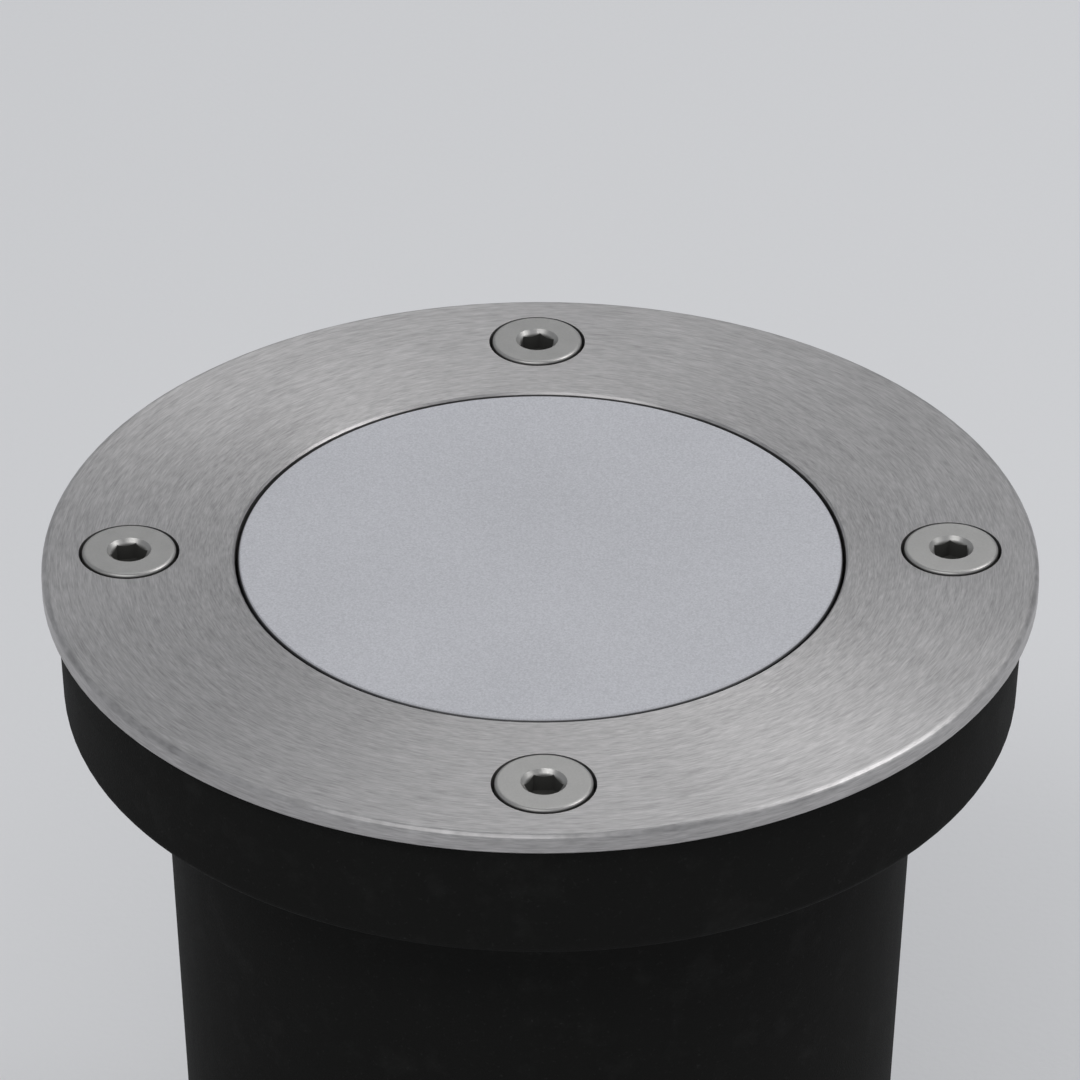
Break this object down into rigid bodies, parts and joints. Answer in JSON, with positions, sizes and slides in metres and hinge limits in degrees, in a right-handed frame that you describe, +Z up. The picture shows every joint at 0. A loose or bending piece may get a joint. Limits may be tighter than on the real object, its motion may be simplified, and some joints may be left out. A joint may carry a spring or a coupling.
{
  "type": "in-ground well light",
  "caption": "Round in-ground well light: brushed steel trim ring with recessed cap screws, frosted glass, black ground sleeve, and a sealed housing with lamp, holder and cable gland.",
  "frame": {"origin": "centre of the sleeve's foot, on the ground plane of the dug hole", "axes": "+Z up along the light's axis towards the glass; +X and -Y run through ring screws"},
  "size_m": [0.1212, 0.1212, 0.1303],
  "materials": {
    "sleeve_plastic": "moulded, matt black",
    "housing_metal": "die cast, black powder coat",
    "ring_steel": "turned, fine circular brushing",
    "frosted_glass": "toughened, frosted",
    "seal_rubber": "matt silicone",
    "screw_steel": "satin stainless",
    "lamp_plastic": "white thermoplastic",
    "lamp_diffuser": "opal",
    "plated_metal": "zinc plated",
    "ceramic": "unglazed",
    "brass": "drawn",
    "block_plastic": "translucent polyamide",
    "wire_cover": "silicone insulation",
    "earth_wire_cover": "silicone insulation",
    "gland_plastic": "black polyamide"
  },
  "bodies": {
    "sleeve": {"ground_sleeve": "sleeve_plastic"},
    "luminaire": {"housing": "housing_metal", "lampholder": "ceramic", "holder_contacts": "brass", "holder_screws": "plated_metal", "holder_bracket": "plated_metal", "bracket_screws": "plated_metal", "holder_leads": "wire_cover", "terminal_block": "block_plastic", "terminal_clamps": "brass", "terminal_screws": "plated_metal", "block_screws": "plated_metal", "earth_screw": "brass", "earth_tag": "brass", "earth_lead": "earth_wire_cover", "gland_body": "gland_plastic", "gland_seal": "seal_rubber", "gland_washer": "seal_rubber", "gland_locknut": "gland_plastic"},
    "ring": {"trim_ring": "ring_steel", "glass": "frosted_glass", "glass_gasket": "seal_rubber"},
    "screw_front": {"ring_screw_front": "screw_steel", "washer_front": "seal_rubber"},
    "screw_right": {"ring_screw_right": "screw_steel", "washer_right": "seal_rubber"},
    "screw_back": {"ring_screw_back": "screw_steel", "washer_back": "seal_rubber"},
    "screw_left": {"ring_screw_left": "screw_steel", "washer_left": "seal_rubber"},
    "lamp": {"lamp_shell": "lamp_plastic", "lamp_front": "lamp_diffuser", "lamp_cap": "lamp_plastic", "lamp_pins": "plated_metal"},
    "nut": {"gland_nut": "gland_plastic"}
  },
  "joints": [
    {"name": "luminaire_lift", "type": "slide", "parent": "sleeve", "child": "luminaire", "axis": [0, 0, 1], "range_m": [0, 0.12]},
    {"name": "ring_lift", "type": "slide", "parent": "luminaire", "child": "ring", "axis": [0, 0, 1], "range_m": [0, 0.05]},
    {"name": "screw_front_travel", "type": "slide", "parent": "ring", "child": "screw_front", "axis": [0, 0, 1], "range_m": [0, 0.008]},
    {"name": "screw_right_travel", "type": "slide", "parent": "ring", "child": "screw_right", "axis": [0, 0, 1], "range_m": [0, 0.008]},
    {"name": "screw_back_travel", "type": "slide", "parent": "ring", "child": "screw_back", "axis": [0, 0, 1], "range_m": [0, 0.008]},
    {"name": "screw_left_travel", "type": "slide", "parent": "ring", "child": "screw_left", "axis": [0, 0, 1], "range_m": [0, 0.008]},
    {"name": "lamp_twist", "type": "hinge", "parent": "luminaire", "child": "lamp", "pos_m": [0, 0, 0.065], "axis": [0, 0, 1], "range_deg": [0, 30]},
    {"name": "gland_nut_turn", "type": "hinge", "parent": "luminaire", "child": "nut", "pos_m": [0, 0, 0.011], "axis": [0, 0, 1], "range_deg": [0, 720]}
  ]
}
